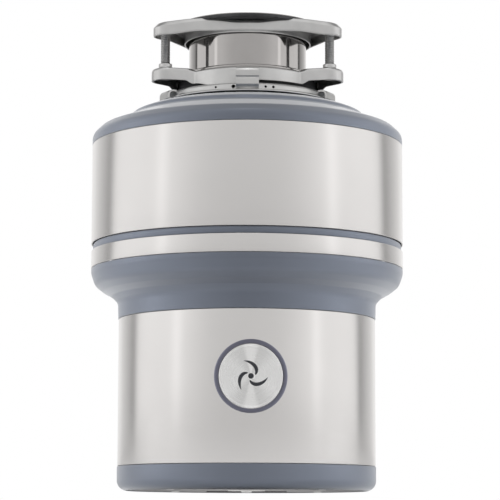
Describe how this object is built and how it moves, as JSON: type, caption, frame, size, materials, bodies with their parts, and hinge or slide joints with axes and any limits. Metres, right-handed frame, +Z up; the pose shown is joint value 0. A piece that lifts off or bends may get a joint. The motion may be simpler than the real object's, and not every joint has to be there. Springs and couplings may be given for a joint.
{
  "type": "garbage disposal",
  "caption": "Under-sink food waste disposer: two-step steel body, plastic waist and dome, three-screw twist-lock sink mount, rear drain elbow.",
  "frame": {"origin": "on the motor shaft's axis, in the plane of the underside of the base", "axes": "+Z up along the shaft towards the sink, +Y back along the drain outlet, -Y front with the badge"},
  "size_m": [0.227, 0.3046, 0.3402],
  "materials": {
    "brushed_stainless": "vertical-lit horizontal brushing, satin",
    "polished_steel": "polished stainless",
    "plated_steel": "zinc plated pressed steel, semi-bright",
    "grinding_stainless": "formed stainless, satin",
    "blue_grey_plastic": "satin moulded, fine texture",
    "black_plastic": "matt moulded",
    "black_rubber": "matt moulded rubber",
    "gasket_fibre": "dark compressed fibre",
    "cast_metal": "die cast, slightly rough",
    "motor_steel": "varnished laminations",
    "copper_wire": "enamelled winding",
    "bearing_bronze": "sintered bronze",
    "insulating_foam": "foamed, dull",
    "red_plastic": "gloss moulded"
  },
  "bodies": {
    "housing": {"base_cap": "blue_grey_plastic", "terminal_cover": "plated_steel", "cover_screw": "plated_steel", "overload_protector": "black_plastic", "lower_end_frame": "cast_metal", "lower_bearing": "bearing_bronze", "motor_housing": "plated_steel", "stator_core": "motor_steel", "stator_winding_lower": "copper_wire", "stator_winding_upper": "copper_wire", "start_capacitor": "black_plastic", "upper_end_bell": "cast_metal", "upper_bearing": "bearing_bronze", "shaft_seal": "black_rubber", "through_bolt_1": "plated_steel", "through_bolt_2": "plated_steel", "through_bolt_3": "plated_steel", "shredder_ring": "grinding_stainless", "ring_support": "grinding_stainless", "container_gasket": "black_rubber", "container_body": "grinding_stainless", "clamp_band": "plated_steel", "dishwasher_inlet": "black_plastic", "insulation_front": "insulating_foam", "insulation_back": "insulating_foam", "lower_band": "brushed_stainless", "narrow_band": "brushed_stainless", "accent_ring": "blue_grey_plastic", "upper_band": "brushed_stainless", "waist_shell": "blue_grey_plastic", "top_cover": "blue_grey_plastic", "badge_bezel": "blue_grey_plastic", "badge_disc": "brushed_stainless", "outlet_gasket": "black_rubber", "discharge_elbow": "plated_steel", "discharge_flange": "plated_steel", "discharge_bolt_left": "plated_steel", "discharge_bolt_right": "plated_steel", "cushion_mount": "black_rubber", "upper_mounting_ring": "plated_steel", "snap_ring": "polished_steel", "backup_flange": "plated_steel", "fiber_gasket": "gasket_fibre", "sink_flange": "polished_steel"},
    "rotor": {"motor_shaft": "grinding_stainless", "rotor_core": "motor_steel", "rotor_end_ring_lower": "cast_metal", "rotor_end_ring_upper": "cast_metal", "grind_plate": "grinding_stainless", "plate_nut": "plated_steel", "impeller_rivet_a": "plated_steel", "impeller_rivet_b": "plated_steel"},
    "swivel_lug_a": {"impeller_a": "grinding_stainless"},
    "swivel_lug_b": {"impeller_b": "grinding_stainless"},
    "reset_plunger": {"reset_button": "red_plastic"},
    "lock_ring": {"lower_mounting_ring": "plated_steel"},
    "screw_1": {"mounting_screw_1": "plated_steel"},
    "screw_2": {"mounting_screw_2": "plated_steel"},
    "screw_3": {"mounting_screw_3": "plated_steel"},
    "splash_baffle": {"sink_baffle": "black_rubber"}
  },
  "joints": [
    {"name": "rotor_spin", "type": "hinge", "parent": "housing", "child": "rotor", "pos_m": [0, 0, 0.08], "axis": [0, 0, 1], "continuous": true},
    {"name": "impeller_a_swivel", "type": "hinge", "parent": "rotor", "child": "swivel_lug_a", "pos_m": [0.038, 0, 0.156], "axis": [0, 0, 1], "continuous": true},
    {"name": "impeller_b_swivel", "type": "hinge", "parent": "rotor", "child": "swivel_lug_b", "pos_m": [-0.038, 0, 0.156], "axis": [0, 0, 1], "continuous": true},
    {"name": "reset_press", "type": "slide", "parent": "housing", "child": "reset_plunger", "axis": [0, 0, 1], "range_m": [0, 0.003], "stiffness_N_per_m": 300, "springref_m": -0.001},
    {"name": "lock_ring_turn", "type": "hinge", "parent": "housing", "child": "lock_ring", "pos_m": [0, 0, 0.285], "axis": [0, 0, 1], "range_deg": [-40, 0]},
    {"name": "screw_1_turn", "type": "hinge", "parent": "housing", "child": "screw_1", "pos_m": [0.05932, -0.03425, 0.31], "axis": [0, 0, 1], "range_deg": [-810, 0]},
    {"name": "screw_2_turn", "type": "hinge", "parent": "housing", "child": "screw_2", "pos_m": [0, 0.0685, 0.31], "axis": [0, 0, 1], "range_deg": [-810, 0]},
    {"name": "screw_3_turn", "type": "hinge", "parent": "housing", "child": "screw_3", "pos_m": [-0.05932, -0.03425, 0.31], "axis": [0, 0, 1], "range_deg": [-810, 0]},
    {"name": "baffle_lift", "type": "slide", "parent": "housing", "child": "splash_baffle", "axis": [0, 0, 1], "range_m": [0, 0.07]}
  ]
}
